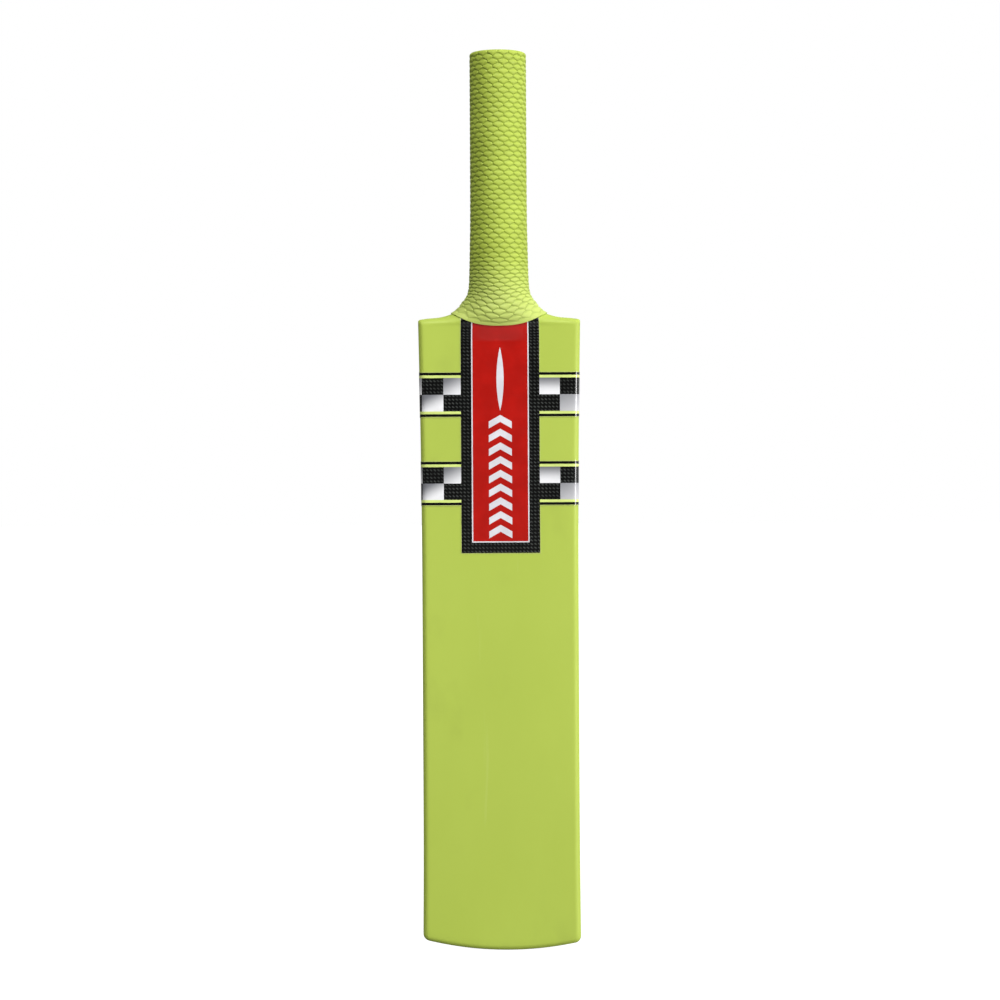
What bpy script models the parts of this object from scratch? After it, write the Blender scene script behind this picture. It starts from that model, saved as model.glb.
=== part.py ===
"""Junior cricket bat in moulded plastic.

One hollow moulding is both blade and handle tube. Rigid foam fills it, a plug closes the handle's
open end, a rubber grip slides over a wrap of adhesive tape, and printed labels lie on the blade.

The bat stands on its toe: +Z runs up the handle, the flat hitting face looks along -Y, the spine
is on the +Y side, and the origin is under the middle of the toe. Metres throughout.
"""

import math

import bmesh
import bpy
import numpy as np

MM = 0.001

# Overall sizes
BAT_LENGTH = 570 * MM
BLADE_LENGTH = 400 * MM
WAIST_HALF_WIDTH = 49.55 * MM
TOE_SPREAD = 0.5 * MM
SHOULDER_SPREAD = 1.9 * MM
WAIST_LOW = 110 * MM
WAIST_HIGH = 221 * MM

# Blade section: the flat face, the edges and the spine on the back
FACE_DEPTH = 12 * MM
EDGE_BACK = 3 * MM
EDGE_RADIUS = 3.6 * MM
SPINE_OUTLINE = [(0, 5.0), (60, 10.2), (140, 14.3), (250, 13.2), (350, 10.6), (420, 10.0)]

# Toe: the outline's bow, lowest a little right of the middle, and the rounding under it
TOE_BOW_RADIUS = 215 * MM
TOE_BOW_CENTRE = 4 * MM
TOE_BOW_FADE = (10 * MM, 60 * MM)
TOE_ROUND = 3.5 * MM

# Shoulders and handle: heights and half widths of the bare plastic
SHOULDER_ROUND = 1.5 * MM
HANDLE_OUTLINE = [
    (400.0, 50.2), (400.7, 45.0), (401.3, 38.5), (402.6, 33.2), (404.3, 29.2), (406.6, 25.6),
    (409.2, 22.6), (412.2, 20.0), (415.4, 18.2), (420.0, 17.1), (428.0, 16.6), (448.0, 16.1),
    (475.0, 15.75), (565.0, 15.7),
]
HANDLE_RADIUS = 15.7 * MM
HANDLE_TOP = 565 * MM
HANDLE_BLEND = (398 * MM, 408 * MM)
TONGUE_RISE = (386.5 * MM, 405 * MM)
TONGUE_POWER = 1.25
TONGUE_HALF_WIDTH = 27 * MM
SHOULDER_EDGE_ROUND = 3 * MM
SHOULDER_EDGE_HEIGHTS = (382 * MM, 399 * MM, 402 * MM, 416 * MM)
SHOULDER_INSET_HEIGHTS = (300 * MM, 390 * MM)

# Walls, gaps and layers
WALL = 2.7 * MM
GAP = 0.3 * MM
LABEL_THICKNESS = 0.2 * MM
TAPE_THICKNESS = 0.25 * MM
GRIP_INNER_OFFSET = 0.85 * MM
GRIP_OUTER_OFFSET = 2.35 * MM
GRIP_EDGE_OFFSET = 1.6 * MM
GRIP_TAPER = 14 * MM
GRIP_EDGE_LOW = 395.8 * MM
GRIP_EDGE_RISE = 8 * MM
GRIP_EDGE_SPAN = 30.5 * MM
GRIP_EDGE_POWER = 2.3
GRIP_TOP_ROUND = 1.8 * MM
GRIP_LIP_RADIUS = 10 * MM
GRIP_LIP_THICKNESS = 1.2 * MM
TAPE_LOW = 432 * MM
TAPE_HIGH = 556 * MM
TAPE_SEAM = 2 * MM

# End plug
PLUG_LOW = 545 * MM
PLUG_STEM_RADIUS = 12.7 * MM
PLUG_HEAD_RADIUS = 15.4 * MM
PLUG_HEAD_TOP = 568.4 * MM
PLUG_CHAMFER = 1 * MM

# Labels: heights on the blade, and distances from the middle of the face or of the back
PANEL_HALF_WIDTH = 24.9 * MM
PANEL_SHIFT = 0.4 * MM
PANEL_LOW = 251.7 * MM
PANEL_HIGH = 402.4 * MM
REAR_PANEL_HIGH = 380 * MM
BAND_REAR_GAP = 1 * MM
BANDS = {"upper": (338.1 * MM, 366.1 * MM), "lower": (282.1 * MM, 309.7 * MM)}

# Points round half a section: face, corner, side, corner, back
FACE_STEPS = 5
CORNER_STEPS = 4
SIDE_STEPS = 2
BACK_STEPS = 5
HALF = FACE_STEPS + 2 * CORNER_STEPS + SIDE_STEPS + BACK_STEPS
RING = 2 * HALF
# Where those five stretches begin and end on a round section
ROUND_STOPS = np.radians([0, 40, 80, 100, 140, 180])

# Heights of the rings that the solids are lofted through, in mm, and turns of the rounded ones
BLADE_RINGS = np.linspace(20, 380, 10)
TONGUE_RINGS = np.array([386.5, 389, 392, 395, 398])
SHOULDER_RINGS = np.array([399.4, 400.0, 400.4])
GRIP_STRAIGHT_RINGS = np.array([430.0, 448.0, 475.0])
GRIP_FLARE_SHARES = np.linspace(0, 1, 11)[:-1] ** 1.3
TOE_TURNS = np.radians([0, 25, 45, 65, 90])
GRIP_TOP_TURNS = np.radians([0, 22, 45, 67, 90])

# Small numbers for the arithmetic
NORMAL_STEP = 0.2 * MM
HALVINGS = 30
LABEL_END_MARGIN = 0.2

# Colours, linear
LIME = (0.45, 0.58, 0.09, 1)
LIME_RUBBER = (0.40, 0.55, 0.10, 1)
PLUG_LIME = (0.38, 0.50, 0.07, 1)
RED = (0.50, 0.011, 0.006, 1)
BLACK = (0.01, 0.01, 0.01, 1)
FOAM = (0.72, 0.66, 0.48, 1)
TAPE = (0.75, 0.75, 0.70, 1)


# ---------------------------------------------------------------- curves and sections


def smooth_step(value, low, high):
    """0 below low, 1 above high, with a smooth run between them."""
    t = np.clip((np.asarray(value, float) - low) / (high - low), 0, 1)
    return t * t * (3 - 2 * t)


def smooth_table(outline, steps=8):
    """A Catmull-Rom curve through (height, size) points in mm, as two arrays in metres."""
    knots = np.array([outline[0], *outline, outline[-1]], float) * MM
    rows = []
    for a, b, c, d in zip(knots, knots[1:], knots[2:], knots[3:]):
        for t in np.arange(steps) / steps:
            pull = (c - a) * t + (2 * a - 5 * b + 4 * c - d) * t**2 + (3 * b - a - 3 * c + d) * t**3
            rows.append(b + pull / 2)
    rows.append(knots[-1])
    table = np.array(rows)
    return table[:, 0], table[:, 1]


SPINE_CURVE = smooth_table(SPINE_OUTLINE)
HANDLE_CURVE = smooth_table(HANDLE_OUTLINE)


def half_width(z):
    """Half the outline's width at height z: waisted blade, rounded shoulder, flared handle."""
    low = np.clip(1 - z / WAIST_LOW, 0, None)
    high = np.clip((z - WAIST_HIGH) / (BLADE_LENGTH - WAIST_HIGH), 0, None)
    blade = WAIST_HALF_WIDTH + TOE_SPREAD * low**2 + SHOULDER_SPREAD * high**2
    into = np.clip(z - (BLADE_LENGTH - SHOULDER_ROUND), 0, SHOULDER_ROUND)
    blade = blade - (SHOULDER_ROUND - np.sqrt(SHOULDER_ROUND**2 - into**2))
    return np.where(z <= BLADE_LENGTH, blade, np.interp(z, *HANDLE_CURVE))


def half_layout():
    """How each point of half a section is placed.

    flat and bend give x as shares of the straight part and of the corner radius. side runs from 0
    on the face to 1 on the back, turn is the corner's share of the radius in y, and angle is the
    point's place on a round section.
    """
    quarter = math.pi / 2
    stretches = [
        (FACE_STEPS, lambda t: (t, 0, 0, 0)),
        (CORNER_STEPS, lambda t: (1, math.sin(t * quarter), 0, 1 - math.cos(t * quarter))),
        (SIDE_STEPS, lambda t: (1, 1, t, 1 - 2 * t)),
        (CORNER_STEPS, lambda t: (1, math.cos(t * quarter), 1, math.sin(t * quarter) - 1)),
        (BACK_STEPS, lambda t: (1 - t, 0, 1, 0)),
    ]
    rows = []
    for (steps, place), start, end in zip(stretches, ROUND_STOPS, ROUND_STOPS[1:]):
        for i in range(steps):
            t = i / steps
            rows.append((*place(t), start + t * (end - start)))
    rows.append((0, 0, 1, 0, ROUND_STOPS[-1]))
    return np.array(rows)


def ring_layout():
    """half_layout for the whole ring: right half from face to back, then the left half back again."""
    half = half_layout()
    whole = np.vstack([half, half[HALF - 1 : 0 : -1]])
    mirror = np.array([1] * (HALF + 1) + [-1] * (HALF - 1))
    return whole.T, mirror


(FLAT, BEND, SIDE, TURN, ANGLE), MIRROR = ring_layout()


def section(height, inset=0.0):
    """The RING points of the body's surface at height, a number or one number for each point.

    inset shrinks the section on all sides, which gives the inside of the wall and the foam.
    """
    height = np.broadcast_to(np.asarray(height, float), (RING,))
    z = height + inset * smooth_step(height, *SHOULDER_INSET_HEIGHTS)
    toe_round = max(TOE_ROUND - inset, MM)
    under = np.clip(toe_round + inset - height, 0, toe_round)
    shrink = inset + toe_round - np.sqrt(toe_round**2 - under**2)
    width = half_width(z) - shrink
    corner = np.maximum(EDGE_RADIUS - shrink, MM)
    flat_x = (FLAT * (width - corner) + BEND * corner) / width

    low, high = TONGUE_RISE
    tongue = (HANDLE_RADIUS - FACE_DEPTH) * np.clip((z - low) / (high - low), 0, 1) ** TONGUE_POWER
    across = np.clip(np.abs(flat_x * width) / TONGUE_HALF_WIDTH, 0, 1)
    spine = np.interp(z, *SPINE_CURVE) * (0.5 + 0.5 * np.cos(math.pi * flat_x**0.9))
    blade_y = (1 - SIDE) * (shrink - FACE_DEPTH) + SIDE * (EDGE_BACK - shrink) + TURN * corner
    blade_y = blade_y - (SIDE == 0) * tongue * np.cos(across * math.pi / 2) ** 2 + (SIDE == 1) * spine

    blend = smooth_step(z, *HANDLE_BLEND)
    x = MIRROR * width * ((1 - blend) * flat_x + blend * np.sin(ANGLE))
    y = (1 - blend) * blade_y - blend * (HANDLE_RADIUS - inset) * np.cos(ANGLE)

    bow = TOE_BOW_RADIUS - np.sqrt(TOE_BOW_RADIUS**2 - (x - TOE_BOW_CENTRE) ** 2)
    bow = bow * (1 - smooth_step(height, *TOE_BOW_FADE))
    return np.column_stack([x, y, height + bow - shoulder_drop(z)])


def shoulder_drop(z):
    """How far the shoulders' tops fall towards the face and the back, where their edges round off."""
    start, full, hold, end = SHOULDER_EDGE_HEIGHTS
    near = smooth_step(z, start, full) * (1 - smooth_step(z, hold, end))
    return near * SHOULDER_EDGE_ROUND * (1 - BEND)


def offset_section(height, distance):
    """The section's points moved off the surface along its normals."""
    points = section(height)
    along = section(np.asarray(height) + NORMAL_STEP) - section(np.asarray(height) - NORMAL_STEP)
    around = np.roll(points, -1, axis=0) - np.roll(points, 1, axis=0)
    normal = np.cross(around, along)
    normal /= np.linalg.norm(normal, axis=1)[:, None]
    return points + np.reshape(distance, (-1, 1)) * normal


# ---------------------------------------------------------------- meshes


def material(name, colour, roughness):
    made = bpy.data.materials.new(name)
    made.use_nodes = True
    shader = made.node_tree.nodes["Principled BSDF"]
    shader.inputs["Base Color"].default_value = colour
    shader.inputs["Roughness"].default_value = roughness
    shader.inputs["Metallic"].default_value = 0
    return made


def add_object(name, bm, finish):
    """Turns a finished bmesh into a named, smooth-shaded object with one material."""
    bmesh.ops.recalc_face_normals(bm, faces=bm.faces)
    mesh = bpy.data.meshes.new(name)
    bm.to_mesh(mesh)
    bm.free()
    mesh.shade_smooth()
    mesh.set_sharp_from_angle(angle=math.radians(35))
    mesh.materials.append(finish)
    made = bpy.data.objects.new(name, mesh)
    bpy.context.scene.collection.objects.link(made)
    return made


def add_loft(bm, rings, closed=False):
    """Joins each ring to the next, and the last to the first if closed. Returns the end rings."""
    loops = [[bm.verts.new(point) for point in ring] for ring in rings]
    pairs = list(zip(loops, loops[1:]))
    if closed:
        pairs.append((loops[-1], loops[0]))
    for low, high in pairs:
        join_loops(bm, low, high)
    return loops[0], loops[-1]


def join_loops(bm, low, high):
    """A band of four-sided faces between two loops with the same number of points."""
    for i in range(len(low)):
        k = (i + 1) % len(low)
        bm.faces.new((low[i], low[k], high[k], high[i]))


def add_strip_cap(bm, verts):
    """Closes a section ring with strips from its face to its back, the last one at each side wider."""
    last = HALF // 2 - 2
    for mirror in (1, -1):
        for i in range(last + 1):
            middle = [HALF // 2] if i == last else []
            places = [i, i + 1, *middle, HALF - i - 1, HALF - i]
            bm.faces.new([verts[mirror * place % RING] for place in places])


def circle(radius, z):
    """A round ring about the handle's axis, its points in line with those of a section."""
    x = radius * MIRROR * np.sin(ANGLE)
    return np.column_stack([x, -radius * np.cos(ANGLE), np.full(RING, z)])


# ---------------------------------------------------------------- moulding and what fills it


def toe_levels(inset):
    """Heights of the rings that round the toe's rim."""
    radius = max(TOE_ROUND - inset, MM)
    return [inset + radius * (1 - math.cos(t)) for t in TOE_TURNS]


def body_levels(top, inset=0.0):
    """Heights of the body's rings from above the toe to top, closer where the outline turns.

    A shrunken section, inside the wall, takes every second one, and its shoulders lie lower.
    """
    flare = [z for z, _ in HANDLE_OUTLINE[1:] if z * MM < top]
    levels = np.concatenate([BLADE_RINGS, TONGUE_RINGS, SHOULDER_RINGS, flare]) * MM
    if inset:
        levels = levels[::2]
    return [*(levels - inset * smooth_step(levels, *SHOULDER_INSET_HEIGHTS)), top]


def make_body(finish):
    """The moulding: blade and handle tube in one shell, open only at the top of the handle."""
    bm = bmesh.new()
    outside = [section(z) for z in toe_levels(0) + body_levels(HANDLE_TOP)]
    inside = [section(z, WALL) for z in toe_levels(WALL) + body_levels(HANDLE_TOP, WALL)]
    toe, rim = add_loft(bm, outside)
    cavity_toe, bore_rim = add_loft(bm, inside)
    add_strip_cap(bm, toe)
    add_strip_cap(bm, cavity_toe)
    join_loops(bm, rim, bore_rim)
    return add_object("blade_body", bm, finish)


def make_foam_core(finish):
    """The rigid foam that fills the moulding up to the end plug."""
    bm = bmesh.new()
    inset = WALL + GAP
    levels = toe_levels(inset) + body_levels(PLUG_LOW - GAP, inset)
    toe, top = add_loft(bm, [section(z, inset) for z in levels])
    add_strip_cap(bm, toe)
    bm.faces.new(top)
    return add_object("blade_foam_core", bm, finish)


def make_end_plug(finish):
    """The plug in the handle's open end: a stem in the bore and a head on the rim."""
    bm = bmesh.new()
    seat = HANDLE_TOP + GAP
    profile = [
        (PLUG_STEM_RADIUS - PLUG_CHAMFER, PLUG_LOW),
        (PLUG_STEM_RADIUS, PLUG_LOW + PLUG_CHAMFER),
        (PLUG_STEM_RADIUS, seat),
        (PLUG_HEAD_RADIUS, seat),
        (PLUG_HEAD_RADIUS, PLUG_HEAD_TOP - PLUG_CHAMFER),
        (PLUG_HEAD_RADIUS - PLUG_CHAMFER, PLUG_HEAD_TOP),
    ]
    low, high = add_loft(bm, [circle(radius, z) for radius, z in profile])
    bm.faces.new(low)
    bm.faces.new(high)
    return add_object("handle_end_plug", bm, finish)


# ---------------------------------------------------------------- grip


def grip_edge_heights():
    """Height of the grip's lower edge at each point round it: lowest mid face, highest at the sides."""
    low = np.full(RING, GRIP_EDGE_LOW - 4 * MM)
    high = np.full(RING, GRIP_EDGE_LOW + 3 * GRIP_EDGE_RISE)
    for _ in range(HALVINGS):
        middle = (low + high) / 2
        points = section(middle)
        rise = (np.abs(points[:, 0]) / GRIP_EDGE_SPAN) ** GRIP_EDGE_POWER
        below = points[:, 2] < GRIP_EDGE_LOW + GRIP_EDGE_RISE * rise
        low = np.where(below, middle, low)
        high = np.where(below, high, middle)
    return (low + high) / 2


def make_grip(finish):
    """The rubber sleeve: thin at its lower edge, with a rolled lip over the end plug."""
    edge = grip_edge_heights()
    top = BAT_LENGTH - GRIP_TOP_ROUND
    straight = GRIP_STRAIGHT_RINGS * MM
    levels = [edge + (straight[0] - edge) * t for t in GRIP_FLARE_SHARES]
    levels += [*straight, HANDLE_TOP]
    inside = [offset_section(z, GRIP_INNER_OFFSET) for z in levels]
    outside = []
    for z in levels:
        share = smooth_step(np.broadcast_to(z, (RING,)) - edge, 0, GRIP_TAPER)
        offset = GRIP_EDGE_OFFSET + share * (GRIP_OUTER_OFFSET - GRIP_EDGE_OFFSET)
        outside.append(offset_section(z, offset))
    outer_radius = HANDLE_RADIUS + GRIP_OUTER_OFFSET
    for t in GRIP_TOP_TURNS:
        radius = outer_radius - GRIP_TOP_ROUND * (1 - math.cos(t))
        outside.append(circle(radius, top + GRIP_TOP_ROUND * math.sin(t)))
    lip_low = BAT_LENGTH - GRIP_LIP_THICKNESS
    inside.append(circle(HANDLE_RADIUS + GRIP_INNER_OFFSET, lip_low))
    inside.append(circle(GRIP_LIP_RADIUS, lip_low))
    outside.append(circle(GRIP_LIP_RADIUS, BAT_LENGTH))

    bm = bmesh.new()
    add_loft(bm, inside[::-1] + outside, closed=True)
    return add_object("grip_sleeve", bm, finish)


# ---------------------------------------------------------------- labels and tape


ROUND = np.arange(-HALF, RING + 1)


def distances_round(height):
    """The distance from the middle of the face to each point in ROUND, along the section."""
    points = section(height)[ROUND % RING]
    steps = np.linalg.norm(np.diff(points, axis=0), axis=1)
    around = np.concatenate([[0], np.cumsum(steps)])
    return around - around[HALF]


def half_round(height):
    """The distance round the section from the middle of its face to the middle of its back."""
    return distances_round(height)[2 * HALF]


def make_slab(name, heights, span, low, high, finish):
    """A thin sheet that follows the body. span(height) gives its two ends as distances round."""
    ends = np.interp(span(heights[0]), distances_round(heights[0]), ROUND)
    bends = ROUND[(ROUND > ends[0] + LABEL_END_MARGIN) & (ROUND < ends[1] - LABEL_END_MARGIN)]
    rings = []
    for z in heights:
        start, end = np.interp(span(z), distances_round(z), ROUND)
        places = np.concatenate([[start], bends, [end]])
        sides = []
        for distance in (low, high):
            lifted = offset_section(z, distance)[ROUND % RING]
            sides.append(np.column_stack([np.interp(places, ROUND, lifted[:, i]) for i in range(3)]))
        rings.append(np.vstack([sides[0], sides[1][::-1]]))
    bm = bmesh.new()
    count = len(rings[0])
    for verts in add_loft(bm, rings):
        for i in range(count // 2 - 1):
            bm.faces.new((verts[i], verts[i + 1], verts[count - 2 - i], verts[count - 1 - i]))
    return add_object(name, bm, finish)


def levels_between(low, high):
    """low, high, and the heights of the body's rings between them, so a label bends where it does."""
    return [low, *[z for z in body_levels(HANDLE_TOP) if low + MM < z < high - MM], high]


def make_labels(panel_finish, band_finish):
    """The face panel, the rear panel, and the bands that run round each edge from panel to panel."""
    layer = (GAP, GAP + LABEL_THICKNESS)
    left = PANEL_SHIFT - PANEL_HALF_WIDTH
    right = PANEL_SHIFT + PANEL_HALF_WIDTH
    rear = PANEL_HALF_WIDTH + BAND_REAR_GAP

    def face_span(_):
        return left, right

    def rear_span(z):
        return half_round(z) - PANEL_HALF_WIDTH, half_round(z) + PANEL_HALF_WIDTH

    def right_span(z):
        return right + GAP, half_round(z) - rear

    def left_span(z):
        return rear - half_round(z), left - GAP

    face_heights = levels_between(PANEL_LOW, PANEL_HIGH)
    make_slab("front_panel_label", face_heights, face_span, *layer, panel_finish)
    rear_heights = levels_between(PANEL_LOW, REAR_PANEL_HIGH)
    make_slab("rear_panel_label", rear_heights, rear_span, *layer, panel_finish)
    for place, (bottom, top) in BANDS.items():
        heights = levels_between(bottom, top)
        make_slab(place + "_band_label_right", heights, right_span, *layer, band_finish)
        make_slab(place + "_band_label_left", heights, left_span, *layer, band_finish)


def make_grip_tape(finish):
    """Double-sided tape wrapped once round the handle, with its seam at the back."""

    def span(z):
        return TAPE_SEAM - half_round(z), half_round(z) - TAPE_SEAM

    heights = levels_between(TAPE_LOW, TAPE_HIGH)
    make_slab("grip_tape", heights, span, GAP, GAP + TAPE_THICKNESS, finish)


def main():
    for old in list(bpy.data.objects):
        bpy.data.objects.remove(old, do_unlink=True)
    make_body(material("lime_plastic", LIME, 0.42))
    make_foam_core(material("rigid_foam", FOAM, 0.9))
    make_end_plug(material("plug_plastic", PLUG_LIME, 0.5))
    make_grip_tape(material("tape", TAPE, 0.7))
    make_grip(material("lime_rubber", LIME_RUBBER, 0.65))
    make_labels(material("red_label", RED, 0.2), material("black_label", BLACK, 0.2))


main()
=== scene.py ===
"""Looks for the junior moulded plastic cricket bat: fine meshes, printed labels, materials and light."""

import math

import bmesh
import bpy
import numpy as np
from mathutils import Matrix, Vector


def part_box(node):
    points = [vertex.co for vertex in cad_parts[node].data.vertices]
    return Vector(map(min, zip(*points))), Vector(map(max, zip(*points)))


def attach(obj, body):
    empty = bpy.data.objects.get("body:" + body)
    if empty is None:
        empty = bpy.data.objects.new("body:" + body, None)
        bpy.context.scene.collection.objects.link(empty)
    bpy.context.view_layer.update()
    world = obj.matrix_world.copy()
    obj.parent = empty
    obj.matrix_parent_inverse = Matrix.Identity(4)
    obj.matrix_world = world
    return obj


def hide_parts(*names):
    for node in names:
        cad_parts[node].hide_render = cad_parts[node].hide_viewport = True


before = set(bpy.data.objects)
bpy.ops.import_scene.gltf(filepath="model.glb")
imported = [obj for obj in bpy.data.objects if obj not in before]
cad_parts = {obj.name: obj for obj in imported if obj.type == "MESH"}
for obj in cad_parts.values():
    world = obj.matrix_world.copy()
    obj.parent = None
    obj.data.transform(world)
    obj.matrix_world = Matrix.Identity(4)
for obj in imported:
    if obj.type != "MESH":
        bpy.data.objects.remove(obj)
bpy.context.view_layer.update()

MM = 0.001

# The bat's shape, as the CAD model has it
BAT_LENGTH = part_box("grip_sleeve")[1].z
BLADE_LENGTH = 400 * MM
WAIST_HALF_WIDTH = 49.55 * MM
TOE_SPREAD = 0.5 * MM
SHOULDER_SPREAD = 1.9 * MM
WAIST_LOW = 110 * MM
WAIST_HIGH = 221 * MM
FACE_DEPTH = 12 * MM
EDGE_BACK = 3 * MM
EDGE_RADIUS = 3.6 * MM
SPINE_OUTLINE = [(0, 5.0), (60, 10.2), (140, 14.3), (250, 13.2), (350, 10.6), (420, 10.0)]
TOE_BOW_RADIUS = 215 * MM
TOE_BOW_CENTRE = 4 * MM
TOE_BOW_FADE = (10 * MM, 60 * MM)
TOE_ROUND = 3.5 * MM
SHOULDER_ROUND = 1.5 * MM
HANDLE_OUTLINE = [
    (400.0, 50.2), (400.7, 45.0), (401.3, 38.5), (402.6, 33.2), (404.3, 29.2), (406.6, 25.6),
    (409.2, 22.6), (412.2, 20.0), (415.4, 18.2), (420.0, 17.1), (428.0, 16.6), (448.0, 16.1),
    (475.0, 15.75), (565.0, 15.7),
]
HANDLE_RADIUS = 15.7 * MM
HANDLE_TOP = 565 * MM
HANDLE_BLEND = (398 * MM, 408 * MM)
TONGUE_RISE = (386.5 * MM, 405 * MM)
TONGUE_POWER = 1.25
TONGUE_HALF_WIDTH = 27 * MM
SHOULDER_EDGE_ROUND = 3 * MM
SHOULDER_EDGE_HEIGHTS = (382 * MM, 399 * MM, 402 * MM, 416 * MM)
SHOULDER_INSET_HEIGHTS = (300 * MM, 390 * MM)
WALL = 2.7 * MM
PARTING_HEIGHT = 0.12 * MM

# Grip
GRIP_OUTER = 2.35 * MM
GRIP_INNER = 0.85 * MM
GRIP_RIM = 0.9 * MM
GRIP_EDGE_LOW = 395.8 * MM
GRIP_EDGE_RISE = 8 * MM
GRIP_EDGE_SPAN = 30.5 * MM
GRIP_EDGE_POWER = 2.3
GRIP_STRAIGHT = 430 * MM
GRIP_TOP_ROUND = 1.8 * MM
GRIP_LIP_RADIUS = 10 * MM
GRIP_LIP_THICKNESS = 1.2 * MM
SCALES_ROUND = 16
SCALE_ROW = 3.05 * MM
SCALE_DEPTH = 0.62 * MM
SCALE_STRAIGHT = 440 * MM
FLARE_ROWS = 16.5
FLARE_CROWDING = 0.12
COLUMNS_PER_SCALE = 16
SCALE_ARCH = 0.62
SCALE_FOOT = 0.66
SCALE_CORNER = 0.35
SCALE_PROFILE = [(0, 0.1), (0.22, 0.85), (0.55, 1.0), (0.86, 1.0), (1, 0.2)]
SLIVER = 0.0008
LADDER_LOW = 392 * MM
LADDER_STEP = 0.5 * MM
LADDER_STEPS = 81

# Labels
PANEL_HALF_WIDTH = 24.9 * MM
PANEL_SHIFT = 0.4 * MM
PANEL_LOW = 251.7 * MM
PANEL_HIGH = 404.5 * MM  # 2.1 mm further up under the grip than the CAD label
REAR_PANEL_HIGH = 380 * MM
PANEL_BORDER = 6.7 * MM
KEYLINE = 0.75 * MM
FILM_MARGIN = 0.45 * MM
FILM_LOW = 0.02 * MM
FILM_HIGH = 0.14 * MM
INK_HIGH = 0.17 * MM
INK_LOW = FILM_HIGH + 0.005 * MM
BAND_LINE = 1.7 * MM
BANDS = {"upper": (338.1 * MM, 366.1 * MM), "lower": (282.1 * MM, 309.7 * MM)}
CHECK_WIDTH = 13.7 * MM
FIRST_CHECK_LEFT = 11 * MM
FIRST_CHECK_RIGHT = 12.95 * MM
WEAVE_PITCH = 2.35 * MM
NEEDLE_LOW = 342 * MM
NEEDLE_WIDTH = 4.6 * MM
FACE_NEEDLE_HIGH = 382 * MM
REAR_NEEDLE_HIGH = 368 * MM
CHEVRONS = 9
CHEVRON_LOW = 261 * MM
CHEVRON_PITCH = 8.7 * MM
CHEVRON_WIDTH = 14.6 * MM
CHEVRON_RISE = 4.2 * MM
CHEVRON_STROKE = 4.4 * MM


# ---------------------------------------------------------------- the body's surface


def smooth_step(value, low, high):
    """0 below low, 1 above high, with a smooth run between them."""
    t = np.clip((np.asarray(value, float) - low) / (high - low), 0, 1)
    return t * t * (3 - 2 * t)


def smooth_table(outline, steps=8):
    """A Catmull-Rom curve through (height, size) points in mm, as two arrays in metres."""
    knots = np.array([outline[0], *outline, outline[-1]], float) * MM
    rows = []
    for a, b, c, d in zip(knots, knots[1:], knots[2:], knots[3:]):
        for t in np.arange(steps) / steps:
            pull = (c - a) * t + (2 * a - 5 * b + 4 * c - d) * t**2 + (3 * b - a - 3 * c + d) * t**3
            rows.append(b + pull / 2)
    rows.append(knots[-1])
    table = np.array(rows)
    return table[:, 0], table[:, 1]


SPINE_CURVE = smooth_table(SPINE_OUTLINE)
HANDLE_CURVE = smooth_table(HANDLE_OUTLINE)
ANGLE_STOPS = np.radians([0, 40, 80, 100, 140, 180])
BACK = 5.0  # the station at the middle of the back; 0 is the middle of the face


def half_width(z):
    """Half the outline's width at height z."""
    low = np.clip(1 - z / WAIST_LOW, 0, None)
    high = np.clip((z - WAIST_HIGH) / (BLADE_LENGTH - WAIST_HIGH), 0, None)
    blade = WAIST_HALF_WIDTH + TOE_SPREAD * low**2 + SHOULDER_SPREAD * high**2
    into = np.clip(z - (BLADE_LENGTH - SHOULDER_ROUND), 0, SHOULDER_ROUND)
    blade = blade - (SHOULDER_ROUND - np.sqrt(SHOULDER_ROUND**2 - into**2))
    return np.where(z <= BLADE_LENGTH, blade, np.interp(z, *HANDLE_CURVE))


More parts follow.
